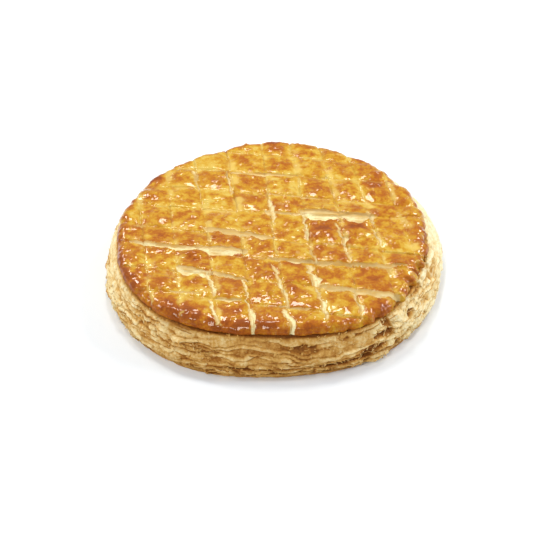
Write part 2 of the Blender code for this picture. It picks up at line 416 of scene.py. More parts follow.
def cut_distances(x, y, slant, table):
    """How far along a set of cuts each point lies, and how far it is past each cut.

    A cut is the parabola through its distances at its start, its middle and its end.
    """
    x, y = x - PLAN_CENTRE[0], y - PLAN_CENTRE[1]
    along = x * math.cos(slant) + y * math.sin(slant)
    past = x * math.sin(slant) - y * math.cos(slant)
    t = along / CUT_REACH
    lines = [
        middle + (end - start) / 2 * t + ((start + end) / 2 - middle) * t * t
        for start, middle, end in table
    ]
    return along, past - np.array(lines)


def cell_place(past):
    """The cell that each point is in, as its first cut's number, and how far across it is."""
    first = np.clip((past >= 0).sum(axis=0) - 1, 0, len(past) - 2)
    each = np.arange(past.shape[1])
    rank = first + past[first, each] / (past[first, each] - past[first + 1, each])
    return np.floor(rank), rank - np.floor(rank)


def nearest_cut(past):
    """Each point's distance past the cut nearest to it."""
    return past[np.abs(past).argmin(axis=0), np.arange(past.shape[1])]


def shoulder(gap):
    """1 on a cut and 0 far from it: exp of minus the distance squared."""
    return np.exp(-((gap / CUT_SHOULDER) ** 2))


def bump_field(x, y, rows):
    """A sum of smooth round bumps: height times (1 - distance squared) squared."""
    total = np.zeros_like(x)
    for cx, cy, wide, deep, height in rows:
        far = ((x - cx) / wide) ** 2 + ((y - cy) / deep) ** 2
        near = far < 1
        total[near] += height * (1 - far[near]) ** 2
    return total


def scattered_blisters():
    """Small blisters all over the lid, 1 to 5.5 mm from middle to edge and up to 1.1 mm high."""
    random = np.random.default_rng(11)
    radius = LID_RADIUS * np.sqrt(random.uniform(0, 1, BLISTERS))
    bearing = random.uniform(0, math.tau, BLISTERS)
    wide = random.uniform(1.6, 5.5, BLISTERS) * random.uniform(0.6, 1, BLISTERS)
    deep = wide * random.uniform(0.6, 1.3, BLISTERS)
    height = random.uniform(0.3, 1.1, BLISTERS) * np.minimum(wide / 3, 1)
    x, y = around(LID_CENTRE, radius, bearing)
    return np.stack([x, y, wide, deep, height], axis=1)


def gash_shape(along, past, row):
    """One gash: height, floor paleness with painted light, area, curled near edge, far edge's painted
    shadow.

    Across it, from the lifted far edge to the near one, the floor comes down in three
    leaves to a shallow trough. Its width follows the square root of a fourth-power lens.
    Its own ends are the seeds of its noise.
    """
    cut_set, _, start, end, drift_start, drift_end, width, lift, curl, cream = row
    t = 2 * (along - start) / (end - start) - 1
    lens = np.clip(1 - t**4, 0, 1) ** 0.5
    ragged = 0.6 * noise(along / 4, past / 9, int(start + 500))
    ragged += 0.45 * noise(along / 1.7, past / 5, int(end + 700))
    ragged *= (1.7 if cut_set == AWAY else 1.0) * lens
    across = past - (drift_start + (drift_end - drift_start) * (t + 1) / 2) + ragged
    gape = width * lens * (0.85 + 0.45 * noise(along / 7, 0, int(end + 900)))
    q = across / np.maximum(gape, 0.05)
    stairs = 0.30 * step(q, -0.04, 0.10) + 0.32 * step(q, 0.34, 0.50) + 0.38 * step(q, 0.62, 0.84)
    behind = np.exp(-((np.minimum(across, 0) / 8) ** 2))
    ahead = np.exp(-((np.maximum(across - gape, 0) / 4.5) ** 2)) * step(q, 0.92, 1.05)
    near = lens * (np.abs(across) < 25)
    height = near * (lift * behind * (1 - stairs) + curl * ahead)
    height -= min(0.12 * width, 0.7) * lens * stairs * (1 - step(q, 0.90, 1.02))
    area = lens * step(q, -0.08, 0.06) * (1 - step(q, 0.94, 1.04))
    # painted light and shade: nearer half of the floor cream as if lit, far half beige as if shaded
    tone = 0.30 + 0.70 * step(q, 0.30, 0.50) + 0.45 * noise(along / 10, past * 1.5, int(start + 300))
    tone *= cream * (0.9 + 0.5 * noise(along / 8, 0, int(end + 200))) * area
    # painted shadow: a dark line under the lifted far edge
    far_edge_shadow = near * np.exp(-(((across - 0.2) / 0.7) ** 2)) * min(lift, 1)
    return height, tone, np.clip(area * 1.3, 0, 1), near * ahead * min(curl, 1), far_edge_shadow


def all_gashes(sets):
    """The gashes' heights summed, and the most of their paleness, area, curl and painted far-edge
    shadow.
    """
    height = np.zeros_like(sets[ACROSS][0])
    looks = np.zeros((4, len(height)))
    for row in GASHES:
        along, past = sets[row[0]]
        relief, *seen = gash_shape(along, past[row[1]], row)
        height += relief
        looks = np.maximum(looks, seen)
    return height, *looks


def knife_cuts(along, past, cell, seed, top):
    """One set of cuts: how deep each is, the painted shade along its groove, and how pale the glaze
    beside it.

    A cut is a V that wanders, with a depth of its own in each cell and a pale band beside
    it, which falls off as exp of minus distance squared. The band lies mostly to one side:
    part thinner glaze, part painted light on the face turned to the lamps.
    """
    cut = np.abs(past).argmin(axis=0)
    gap = nearest_cut(past) + 0.6 * noise(along / 11, 0, seed)
    gap += 1.5 * (hashed(cut, cell, seed) - 0.5)
    groove = np.clip(1 - np.abs(gap) / CUT_HALF_WIDTH, 0, 1)
    depth = CUT_DEPTH * (0.15 + 0.85 * hashed(cut, cell, seed + 2) ** 1.5) * groove
    # painted shade: a dark line down the groove of some cuts
    crease = groove * hashed(cut, cell, seed + 8) ** 2
    wide = 1.0 + 3.6 * hashed(cut, cell, seed + 4) ** 1.5
    wide += noise(along / 5, past[0] / 14, seed + 5)
    wide += 0.8 * noise(along / 2.2, past[0] / 7, seed + 10)
    # pale band: part thin glaze, part painted light on the face turned to the lamps
    band = np.exp(-(((gap - 0.5 * wide) / np.maximum(wide, 0.6)) ** 2))
    open_dough = step(noise(along / 9, past[0] / 16, seed + 6), -0.3, 0.5)
    return depth * (0.45 + 0.55 * top), crease, band * (0.2 + 0.9 * open_dough)


def lid_toast(x, y, browning, raised):
    """How toasted the lid is: browning, patches of noise, and more on whatever is raised.

    Past halfway it rises half as fast, so that only what is scorched goes dark.
    """
    toast = 0.30 + browning - 0.09 * step(y - 0.5 * x, 10, 90)
    toast += 0.28 * layered_noise(x / 16, y / 13, 51, 3) + 0.26 * layered_noise(x / 5, y / 4, 55, 2)
    toast += raised
    toast = np.minimum(toast, 0.5 + 0.5 * (toast - 0.5))
    return toast + 0.7 * bump_field(x, y, SCORCHES)


def lid_surface(x, y, top):
    """The lid's height over its base at (x, y), and its looks by name.

    The height is a mound in each cell of the lattice, less the cuts, plus the gashes, a sum
    of round blisters and bubbles, and folded noise for wrinkles. top is 1 on the plateau
    and falls to 0 down the rolled edge.
    """
    sets = [cut_distances(x, y, *cut_set) for cut_set in CUT_SETS]
    rows, row_share = cell_place(sets[ACROSS][1])
    columns, column_share = cell_place(sets[AWAY][1])
    mound = (1 - np.abs(2 * row_share - 1) ** 2.6) * (1 - np.abs(2 * column_share - 1) ** 2.6)
    height = PUFF * mound * (0.5 + 1.1 * hashed(rows, columns, 3)) * (0.3 + 0.7 * top)
    tilt = (hashed(rows, columns, 4) - 0.5) * (column_share - 0.5)
    tilt += (hashed(rows, columns, 5) - 0.5) * (row_share - 0.5)
    height += CELL_TILT * tilt * top
    across_depth, across_crease_shade, across_pale = knife_cuts(*sets[ACROSS], columns, 21, top)
    away_depth, away_crease_shade, away_pale = knife_cuts(*sets[AWAY], rows, 22, top)
    gash_height, cream, gashed, curled, far_edge_shadow = all_gashes(sets)
    height += gash_height * (0.25 + 0.75 * top) - across_depth - away_depth
    crease = np.maximum(across_crease_shade, away_crease_shade) * (1 - gashed)
    blisters = bump_field(x, y, scattered_blisters())
    bubbles = bump_field(x, y, BUBBLES)
    wrinkle = 1 - 2 * np.abs(layered_noise(x / 9, y / 5.5, 41, 3))
    fine = layered_noise(x / 2.8, y / 2.8, 45, 2)
    rough = (0.15 + 0.85 * step(noise(x / 11, y / 9, 49), -0.2, 0.5)) * (0.4 + 0.6 * top)
    skin = 1.2 * rough * blisters + bubbles + (0.2 + 0.4 * rough) * wrinkle + 0.22 * rough * fine
    height += (1 - gashed) * skin + 0.7 * layered_noise(x / 30, y / 30, 48, 2)
    browning = 0.26 * mound * (0.3 + 1.2 * hashed(rows, columns, 6))
    browning += 0.12 * (hashed(rows, columns, 7) - 0.5)
    looks = {
        "toast": lid_toast(x, y, browning, 0.12 * blisters + 0.03 * bubbles) + 0.26 * curled,
        "bare": gashed,
        # the gashes' floors: cream dough, with painted light on their nearer halves
        "cream": cream,
        # painted shade in the cuts' creases and under the gashes' lifted far edges
        "crease": np.maximum(crease, 0.7 * far_edge_shadow),
        # paler glaze by the cuts: part thin glaze, part painted light
        "pale": np.maximum(0.6 * across_pale, away_pale) * top**2,
    }
    return height, looks


def lid_edge(bearing, x, y):
    """The lid's radius at a bearing, with a notch where each cut runs out over the edge."""
    turns = bearing / math.tau
    gap = np.minimum(*[np.abs(nearest_cut(cut_distances(x, y, *cut_set)[1])) for cut_set in CUT_SETS])
    radius = LID_RADIUS + sum_of_bells(bearing, LID_SWELLS)
    radius -= RIM_NOTCH * (0.3 + 0.7 * noise(turns * 19, 0, 60, 19) ** 2) * shoulder(gap)
    radius += (0.7 + 1.5 * bell(bearing, *SCALLOPED_RIM)) * noise(turns * 44, 0, 61, 44)
    ragged = 0.6 + 3.2 * bell(bearing, *RAGGED_RIM)
    return radius + ragged * layered_noise(turns * 160, 0, 65, 3, 160)


def gather_to_cuts(x, y):
    """Draws points towards the nearest cuts, so that the grid is finest where they are."""
    for slant, table in CUT_SETS:
        gap = nearest_cut(cut_distances(x, y, slant, table)[1])
        pull = -0.45 * gap * shoulder(gap)
        x, y = x + pull * math.sin(slant), y - pull * math.cos(slant)
    return x, y


def bake_rim(ring, bearing, x, y, looks):
    """Bakes the rolled edge: browner in places, finely cracked in painted shade, and peeled to bare
    dough.

    It is browned outside a wavering border, which lies further in where it is brownest.
    """
    browner = sum_of_bells(bearing, RIM_TOASTS)
    border = FLAT_RINGS + 4 - 9 * browner + 4 * noise(bearing / math.tau * 57, 0, 62, 57)
    looks["toast"] += 0.22 * browner * step(ring, border - 14, border)
    looks["toast"] += (0.10 + 0.42 * browner) * step(ring, border - 2, border + 3)
    # painted shade: dark lines for the cracks on the cracked stretch
    cracks = 1 - step(np.abs(noise(bearing * 30, ring / 30, 67)), 0.0, 0.12)
    cracks *= bell(bearing, *CRACKED_RIM) * step(ring, FLAT_RINGS - 8, FLAT_RINGS + 4)
    cracks *= 1.6 * step(noise(bearing * 11, ring / 9, 68), -0.1, 0.3)
    looks["crease"] = np.maximum(looks["crease"], cracks)
    peeled = 0.75 * bell(bearing, *PEELED_RIM) * step(ring, border - 6, border + 5)
    peeled *= step(layered_noise(x / 4.5, y / 4.5, 63, 3), 0.0, 0.5)
    looks["bare"] = np.maximum(looks["bare"], peeled)
    looks["cream"] = np.maximum(looks["cream"], 0.8 * peeled)


def build_lid():
    """The glazed lid, closed underneath.

    Rings run out over the plateau at an even pitch, then round a quarter ellipse down to
    the lip, round a smaller one under it, and inwards to a flat hidden cap. The relief
    stands along the surface's normal.
    """
    ring, bearing, quads, border = disc_grid(LID_RINGS)
    edge = lid_edge(bearing, *around(LID_CENTRE, LID_RADIUS, bearing))
    roll = np.clip((ring - FLAT_RINGS) / ROLL_RINGS, 0, 1) * math.pi / 2
    tuck = np.clip((ring - FLAT_RINGS - ROLL_RINGS) / TUCK_RINGS, 0, 1) * math.pi / 2
    cap = np.clip((ring - LID_RINGS + CAP_RINGS) / CAP_RINGS, 0, 1)
    radius = np.clip(ring / FLAT_RINGS, 0, 1) * (edge - ROLL_WIDTH)
    radius += ROLL_WIDTH * np.sin(roll) - TUCK_WIDTH * (1 - np.cos(tuck))
    radius = radius * (1 - cap) + (LID_RADIUS - CAP_INSET) * cap
    lip = LIP_MIDDLE + LIP_WAVE * noise(bearing / math.tau * 34, 0, 71, 34) * (1 - cap)
    base = lip + (LID_TOP - lip) * np.cos(roll) - (LIP_MIDDLE - LIP_BOTTOM) * np.sin(tuck)
    x, y = around(LID_CENTRE, radius, bearing)
    top = np.cos(roll)
    pulled_x, pulled_y = gather_to_cuts(x, y)
    x, y = x + (pulled_x - x) * top, y + (pulled_y - y) * top
    height, looks = lid_surface(x, y, top)
    showing = np.cos(tuck) * (1 - cap)
    height = height * showing
    out = np.sin(roll) * np.cos(tuck)
    up = np.sqrt(np.clip(1 - out**2, 0, 1))
    points = np.stack([*around((x, y), height * out, bearing), base + height * up], axis=1)
    bake_rim(ring, bearing, x, y, looks)
    looks["shine"] = step(top, 0.05, 0.7) * showing
    piece = mesh_object("glazed_lid", points, quads + [border[::-1]])
    for name, values in looks.items():
        add_attribute(piece, name, values)
    return piece


def side_place(bearing, share):
    """The side before its leaves are raised: each point's centre, plan radius and height.

    share runs from 0 at the foot to 1 under the lid. The side swells out to the belly and
    leans in above it, and its outline turns from the foot's into the lid's.
    """
    risen = bell(bearing, *RISEN_STRETCH)
    height = LEAVES_FOOT + (LEAVES_TOP + RISEN_LEAF * risen - LEAVES_FOOT) * share
    under = np.clip(1 - height / BELLY, 0, 1)
    climb = np.clip((height - BELLY) / (LEAVES_TOP - BELLY), 0, 1)
    taper = SIDE_RADIUS - (LID_RADIUS + TOP_LEAF_STANDS * (1 + RISEN_LEAN * risen))
    inset = FOOT_INSET * under**2 + taper * (0.35 * climb + 0.65 * climb**2)
    foot_swell, lid_swell = (sum_of_bells(bearing, table) for table in (SIDE_SWELLS, LID_SWELLS))
    radius = SIDE_RADIUS - inset + ((1 - share) * foot_swell + share * lid_swell)
    lean = np.clip(share, 0, 1) ** 2
    centre = [foot + (lid - foot) * lean for foot, lid in zip(PLAN_CENTRE, LID_CENTRE)]
    return centre, radius, height


def fold_push(bearing, height):
    """How far the folds push the side out, each a flat-topped bump.

    It falls off as exp of minus the square of (bearing's squared distance plus height's).
    """
    total = np.zeros_like(bearing)
    for middle, half, level, half_level, push in FOLDS:
        far = turned_away(bearing, middle, half) + ((height - level) / half_level) ** 2
        total += push * np.exp(-(far**2))
    return total


def side_browning_and_shade(bearing, share):
    """How browned the side is, the front partly painted shade: most at foot and front, least on the
    right.
    """
    foot = 1 - step(share, 0.0, 0.3)
    left = 0.08 - 0.08 * np.cos(bearing)
    # partly painted shade: the front, turned away from the lamps, is painted darker
    front = 0.68 * bell(bearing, *FRONT_STRETCH)
    return left + front + 0.40 * foot * (1 - 0.6 * bell(bearing, *PLAIN_STRETCH))


def leaf_phase(bearing, share):
    """Which leaf a point of the side is on, counted from the foot, with leaves that wander."""
    turns = bearing / math.tau
    wander = noise(turns * 14, share * 2, 71, 14)
    wander += 0.7 * noise(turns * 50, share * 4, 72, 50)
    wander += 0.35 * noise(turns * 150, share * 7, 73, 150)
    return LEAVES * share + wander * np.sin(math.pi * np.clip(share, 0, 1)) ** 0.5


def side_surface(bearing, share):
    """The side with its leaves raised: points, and painted shade, deep in the crevices and under the
    lid.

    Each leaf is a rounded crest between sharp crevices, stands in or out by its own slow
    noise, and is lumpy. Its crest is pulled up or down, which undercuts the crevices.
    """
    turns = bearing / math.tau
    centre, radius, height = side_place(bearing, share)
    phase = leaf_phase(bearing, share)
    leaf = np.floor(phase)
    crest = np.sin(math.pi * (phase - leaf)) ** 0.7
    fade = step(share, 0.0, 0.04)
    plain = bell(bearing, *PLAIN_STRETCH)
    strength = np.clip(0.75 + 1.1 * noise(turns * 44, leaf * 3.7, 74, 44), 0, 2)
    strength = strength * (1 + 0.4 * bell(bearing, *LIVELY_STRETCH) - 0.75 * plain)
    out = LEAF_RELIEF * strength * (crest - 0.6) - LEAVES_SET_BACK
    out += 0.9 * noise(turns * 26, leaf * 5.3, 75, 26)
    smooth = 0.7 * bell(bearing, *SHEET_STRETCH) * step(share, 0.2, 0.4)
    smooth += 0.85 * plain + 0.8 * bell(bearing, *LEFT_STRETCH)
    lumps = 0.9 * crest**0.5 * pillows(turns * 100, leaf * 7.1, 76, 100)
    lumps += 1.1 * layered_noise(turns * 120, share * 5.5, 77, 3, 120)
    lumps += 0.45 * pillows(turns * 250, share * 11, 78, 250)
    out += (1 - smooth) * lumps
    out += 0.45 * (1 - step(share, 0.25, 0.4)) * np.sin(math.tau * 2.5 * phase)
    torn = bell(bearing, *TORN_STRETCH) + 0.3 * bell(bearing, *NICKED_STRETCH)
    out -= 3.2 * torn * step(layered_noise(turns * 66, share * 4.5, 80, 2, 66), 0.12, 0.5)
    out = (out + fold_push(bearing, height)) * fade
    curl = 0.9 * noise(turns * 24, leaf * 2.9, 79, 24)
    # painted shade: darker where the leaves are set back, less on the plain stretch
    hollow_shade = np.clip(0.3 - 0.34 * (out + 1.5), 0, 1) * (1 - 0.8 * plain)
    # painted shade: a dark band just under the lid's edge
    hollow_shade += 0.6 * step(share, 0.93, 1.0)
    return *around(centre, radius + out, bearing), height + curl * crest * fade, hollow_shade


def flat_ring(bearing, centre, radius, level, share):
    """A hidden ring of the side: x, y, height, painted shade and share, as one row each."""
    level, crevice, share = (number * np.ones_like(bearing) for number in (level, 0.8, share))
    return np.stack([*around(centre, radius, bearing), level, crevice, share])[:, None]


def build_side():
    """The flaky side: a grid round the tart, closed by flat hidden caps above and below."""
    bearing = np.arange(SIDE_COLUMNS) * math.tau / SIDE_COLUMNS
    bearings, shares = np.meshgrid(bearing, np.linspace(0, 1, SIDE_ROWS))
    foot = side_place(bearing, np.zeros(SIDE_COLUMNS))[1]
    under_lid = LID_RADIUS + sum_of_bells(bearing, LID_SWELLS)
    rings = [flat_ring(bearing, PLAN_CENTRE, foot - inset, level, 0) for inset, level in FOOT_CAPS]
    rings.append(np.stack([*side_surface(bearings, shares), shares]))
    inset, level = TOP_CAP
    rings.append(flat_ring(bearing, LID_CENTRE, under_lid - inset, level, 1))
    x, y, z, crevice, share = np.concatenate(rings, axis=1).reshape(5, -1)
    rows = len(x) // SIDE_COLUMNS
    around_once = list(range(SIDE_COLUMNS))
    quads = tube_quads(rows, SIDE_COLUMNS)
    quads += [around_once[::-1], [(rows - 1) * SIDE_COLUMNS + column for column in around_once]]
    piece = mesh_object("flaky_side", np.stack([x, y, z], axis=1), quads)
    # painted shade in the crevices and under the lid, which the side's dough reads
    add_attribute(piece, "crevice", crevice)
    add_attribute(piece, "baked", side_browning_and_shade(np.tile(bearing, rows), share))
    return piece


def build_ribbons():
    """Loose leaf edges: thin ribbons that stand out of the side along its leaves.

    Each is a flat loop of six points carried along a stretch of a leaf. It stands out by a
    lens of its length, with a ragged edge, and sinks into the side at both ends.
    """
    random = np.random.default_rng(31)
    each = (RIBBONS, 1)
    middle = random.uniform(0, math.tau, each)
    half = np.radians(random.uniform(1.5, 8, each))
    level = random.uniform(0.06, 0.96, each)
    reach = random.uniform(0.5, 1.7, each)
    lean = random.uniform(-0.5, 0.7, each)
    thick = random.uniform(0.25, 0.6, each)
    t = np.linspace(-1, 1, RIBBON_STEPS)[None]
    bearing = middle + half * t
    turns = bearing / math.tau
    share = level + 0.02 * noise(turns * 30, level * 50, 81)
    x, y, z, _ = side_surface(bearing, share)
    lens = np.clip(1 - t**4, 0, 1) ** 0.7
    ragged = 0.7 + 0.5 * noise(turns * 150, level * 90, 82)
    ragged += 0.3 * noise(turns * 420, level * 70, 83)
    out = reach * lens * ragged * (1 - 0.95 * bell(bearing, *PLAIN_STRETCH))
    corners = []
    for stand, rise, _ in RIBBON_SECTION:
        far = stand if stand < 0 else stand * out - 0.4 * (1 - lens)
        up = z + rise * thick + (0 if stand < 0 else lean * stand * out)
        up = np.maximum(up, BOARD_GAP)
        corners.append(np.stack([*around((x, y), far, bearing), up], axis=-1))
    points = np.stack(corners, axis=2)
    sides = len(RIBBON_SECTION)
    first = list(range(sides))
    one = [quad[::-1] for quad in tube_quads(RIBBON_STEPS, sides)]
    one += [first, [(RIBBON_STEPS - 1) * sides + corner for corner in first][::-1]]
    faces = repeated_faces(one, RIBBON_STEPS * sides, RIBBONS)
    piece = mesh_object("leaf_edges", points.reshape(-1, 3), faces)
    tip = np.array([corner[2] for corner in RIBBON_SECTION])
    add_attribute(piece, "tip", np.broadcast_to(tip, points.shape[:3]))
    add_attribute(piece, "baked", np.repeat(side_browning_and_shade(bearing, share), sides))
    return piece


def flake_faces():
    """One flake's faces: a fan round its first point, rows of quads, a fan round its last."""
    last = 1 + FLAKE_RINGS * FLAKE_SIDES
    below = last - FLAKE_SIDES
    pairs = [(side, (side + 1) % FLAKE_SIDES) for side in range(FLAKE_SIDES)]
    faces = [[0, 1 + side, 1 + after] for side, after in pairs]
    faces += [[1 + a, 1 + d, 1 + c, 1 + b] for a, b, c, d in tube_quads(FLAKE_RINGS, FLAKE_SIDES)]
    return faces + [[last, below + after, below + side] for side, after in pairs]


def flake_cloud(name, centres, normals, sizes, baked, seed):
    """Many small curled flakes: flattened, bent ellipsoids of a few rings of seven points.

    Each lies across its normal, turned at random, and is bent by its distance from its
    middle squared.
    """
    random = np.random.default_rng(seed)
    count = len(centres)
    side = np.cross(normals, random.normal(size=(count, 3)))
    side /= np.linalg.norm(side, axis=1)[:, None]
    ahead = np.cross(normals, side)
    turn = np.arange(FLAKE_SIDES) * math.tau / FLAKE_SIDES
    polar = (np.arange(FLAKE_RINGS) + 1)[:, None] / (FLAKE_RINGS + 1) * math.pi
    ring = [np.sin(polar) * np.cos(turn), np.sin(polar) * np.sin(turn), np.cos(polar) + 0 * turn]
    ring = np.stack(ring, axis=-1).reshape(-1, 3)
    unit = np.concatenate([[[0, 0, 1]], ring, [[0, 0, -1]]])
    local = unit[None] * (1 + 0.35 * random.uniform(-1, 1, (count, len(unit), 1)))
    long, wide, thick, bend = (sizes[:, column, None] for column in range(4))
    u, v, w = local[..., 0] * long, local[..., 1] * wide, local[..., 2] * thick
    w = w + bend * (u**2) / np.maximum(long, 0.1)
    points = centres[:, None] + u[..., None] * side[:, None] + v[..., None] * ahead[:, None]
    points = points + w[..., None] * normals[:, None]
    points[..., 2] = np.maximum(points[..., 2], BOARD_GAP)
    faces = repeated_faces(flake_faces(), len(unit), count)
    piece = mesh_object(name, points.reshape(-1, 3), faces)
    add_attribute(piece, "baked", np.repeat(baked, len(unit)))
    return piece


def build_side_flakes():
    """Crumbly scales that stick to the side, thickest where its leaves are torn."""
    random = np.random.default_rng(37)
    bearing = random.uniform(0, math.tau, SCALES)
    torn = random.uniform(0, 1, SCALES) < TORN_SCALES
    bearing = np.where(torn, np.radians(random.normal(*TORN_MIDDLE, SCALES)), bearing)
    share = random.uniform(0.01, 0.99, SCALES)
    x, y, z, _ = side_surface(bearing, share)
    normals = np.stack([np.cos(bearing), np.sin(bearing), 0.35 * share], axis=1)
    normals += random.normal(0, 0.35, normals.shape)
    normals /= np.linalg.norm(normals, axis=1)[:, None]
    sizes = np.stack([random.uniform(*span, SCALES) for span in SCALE_SIZES], axis=1)
    sizes *= 1 - 0.6 * bell(bearing, *PLAIN_STRETCH)[:, None]
    baked = side_browning_and_shade(bearing, share)
    return flake_cloud("side_flakes", np.stack([x, y, z], axis=1), normals, sizes, baked, 38)


def build_base():
    """The browned underside: a thin disc with a rough edge, closed above, out of sight.

    Rings run out over the flat foot, round the rough edge and back in over the top.
    """
    ring, bearing, quads, border = disc_grid(BASE_RINGS)
    turns = bearing / math.tau
    flat_rings = BASE_RINGS - BASE_EDGE_RINGS - CAP_RINGS
    foot = side_place(bearing, np.zeros_like(bearing))[1] + BASE_STANDS
    foot += 0.9 * layered_noise(turns * 90, 0, 91, 3, 90)
    edge = np.clip((ring - flat_rings) / BASE_EDGE_RINGS, 0, 1) * math.pi
    cap = np.clip((ring - BASE_RINGS + CAP_RINGS) / CAP_RINGS, 0, 1)
    radius = np.clip(ring / flat_rings, 0, 1) * (foot - BASE_LIP)
    radius += BASE_LIP * np.sin(edge) - BASE_CAP_INSET * cap
    x, y = around(PLAN_CENTRE, radius, bearing)
    pits = 0.25 * step(layered_noise(x / 7, y / 7, 92, 3), 0.1, 0.5)
    thick = BASE_THICKNESS + 0.5 * noise(turns * 60, 0, 93, 60)
    z = thick / 2 * (1 - np.cos(edge)) + pits * (edge == 0)
    points = np.stack([x, y, z], axis=1)
    return mesh_object("baked_base", points, [quad[::-1] for quad in quads] + [border])


# A Mix node's colour sockets, by number, because it has others of the same names.
MIX_SHARE, MIX_FIRST, MIX_SECOND, MIX_COLOUR = 0, 6, 7, 2


class Flow:
    """A value in a material's node tree, so that shader maths reads as an expression."""

    def __init__(self, recipe, socket):
        self.recipe = recipe
        self.socket = socket

    def maths(self, operation, first, second):
        """Adds a Math node."""
        return self.recipe.node("ShaderNodeMath", {"operation": operation}, {0: first, 1: second})

    def __add__(self, other):
        return self.maths("ADD", self, other)

    __radd__ = __add__

    def __sub__(self, other):
        return self.maths("SUBTRACT", self, other)

    def __rsub__(self, other):
        return self.maths("SUBTRACT", other, self)

    def __mul__(self, other):
        return self.maths("MULTIPLY", self, other)

    __rmul__ = __mul__


class Recipe:
    """One material's nodes."""

    def __init__(self, name):
        self.material = bpy.data.materials.new(name)
        self.material.use_nodes = True
        self.tree = self.material.node_tree
        self.shader = self.tree.nodes["Principled BSDF"]

    def node(self, kind, settings=None, sockets=None, output=0):
        """Adds a node: its settings first, then its sockets' values or links."""
        made = self.tree.nodes.new(kind)
        for name, value in (settings or {}).items():
            if name == "stops":
                self.set_stops(made.color_ramp, value)
            else:
                setattr(made, name, value)
        for name, value in (sockets or {}).items():
            self.feed(made.inputs[name], value)
        return Flow(self, made.outputs[output])

    def set_stops(self, ramp, stops):
        """Gives a ramp its stops, each a place and a colour."""
        while len(ramp.elements) < len(stops):
            ramp.elements.new(0.5)
        for element, (place, colour) in zip(ramp.elements, stops):
            element.position = place
            element.color = colour

    def feed(self, socket, value):
        """Links a flow to a socket, or sets the socket to a value."""
        if isinstance(value, Flow):
            self.tree.links.new(value.socket, socket)
        else:
            socket.default_value = value

    def attribute(self, name):
        """What a mesh says of itself under that name."""
        return self.node("ShaderNodeAttribute", {"attribute_name": name}, output="Fac")

    def place(self, stretch, seed):
        """Where a point is on the piece, stretched and moved by the seed."""
        sockets = {"Vector": self.node("ShaderNodeTexCoord", output="Object")}
        sockets.update({"Location": (seed, seed, seed), "Scale": stretch})
        return self.node("ShaderNodeMapping", None, sockets)

    def noise(self, size_mm, detail=2.0, stretch=(1, 1, 1), seed=0.0):
        """Noise whose features are about size_mm across, from 0 to 1."""
        sockets = {"Vector": self.place(stretch, seed), "Scale": 1 / (size_mm * MM)}
        sockets.update({"Detail": detail, "Roughness": 0.6})
        return self.node("ShaderNodeTexNoise", None, sockets)

    def spots(self, size_mm, seed):
        """Distance from the middle of scattered spots, from 0 to about 1."""
        sockets = {"Vector": self.place((1, 1, 1), seed), "Scale": 1 / (size_mm * MM)}
        return self.node("ShaderNodeTexVoronoi", {"feature": "F1"}, sockets)

    def ramp(self, value, stops):
        """A colour from a ramp's stops."""
        return self.node("ShaderNodeValToRGB", {"stops": stops}, {"Fac": value})

    def curve(self, value, start, end):
        """0 below start, 1 above end and a smooth step between."""
        sockets = {"Value": value, "From Min": start, "From Max": end}
        return self.node("ShaderNodeMapRange", {"interpolation_type": "SMOOTHSTEP"}, sockets)

    def mix(self, share, first, second):
        """One colour turning into another, through the sockets that a Mix node has for them."""
        sockets = {MIX_SHARE: share, MIX_FIRST: first, MIX_SECOND: second}
        return self.node("ShaderNodeMix", {"data_type": "RGBA"}, sockets, output=MIX_COLOUR)

    def bump(self, height, distance_mm, strength):
        """The surface's normal, tilted as if height stood out by distance_mm."""
        sockets = {"Height": height, "Distance": distance_mm * MM, "Strength": strength}
        return self.node("ShaderNodeBump", None, sockets)

    def finish(self, **values):
        """Feeds the shader's own sockets, named with underscores for spaces."""
        for name, value in values.items():
            self.feed(self.shader.inputs[name.replace("_", " ")], value)
        return self.material


def shade(red, green, blue):
    """A colour as it looks, out of 255, turned into the light it reflects."""
    parts = [value / 255 for value in (red, green, blue)]
    light = [part / 12.92 if part <= 0.04045 else ((part + 0.055) / 1.055) ** 2.4 for part in parts]
    return (*light, 1.0)


# cream of the gashes' floors, in part painted light
CREAM = shade(244, 235, 188)
BEIGE = shade(201, 167, 98)
TAN = shade(212, 160, 66)
# paler glaze by the cuts, in part painted light
PALE_GLAZE = shade(230, 204, 110)
# pale blistered skin, in part a painted sheen
PALE_SKIN_SHEEN = shade(232, 200, 128)
# painted shade for creases, cracks and the gashes' far edges
CREASE_SHADE = shade(158, 88, 18)
GLAZE_STOPS = (
    (0.00, shade(214, 184, 86)),
    (0.22, shade(206, 161, 44)),
    (0.42, shade(193, 136, 22)),
    (0.60, shade(179, 108, 12)),
    (0.78, shade(167, 89, 7)),
    (1.00, shade(142, 69, 6)),
)
DOUGH_STOPS = (
    (0.00, shade(250, 242, 208)),
    (0.25, shade(236, 212, 154)),
    (0.50, shade(210, 163, 86)),
    (0.75, shade(170, 112, 42)),
    (1.00, shade(118, 66, 16)),
)
FLOOR_WHITE = (0.87, 0.92, 0.99, 1.0)
NEUTRAL = (1.0, 1.0, 1.0)
WARM = (1.0, 0.95, 0.86)
# Small round lamps: name, place in metres, how wide in metres, how strong, and colour.
LAMPS = (
    ("top", (-0.08, 0.44, 0.90), 0.22, 2.5, WARM),
    ("back_left", (-0.55, 0.55, 0.75), 0.22, 2.7, WARM),
    ("back_right", (0.60, 0.50, 0.75), 0.22, 3.3, WARM),
    ("left", (-0.85, -0.10, 0.60), 0.25, 2.0, NEUTRAL),
    ("right", (0.90, 0.0, 0.55), 0.30, 3.4, NEUTRAL),
    ("front", (-0.30, -0.75, 0.80), 0.30, 3.4, WARM),
)


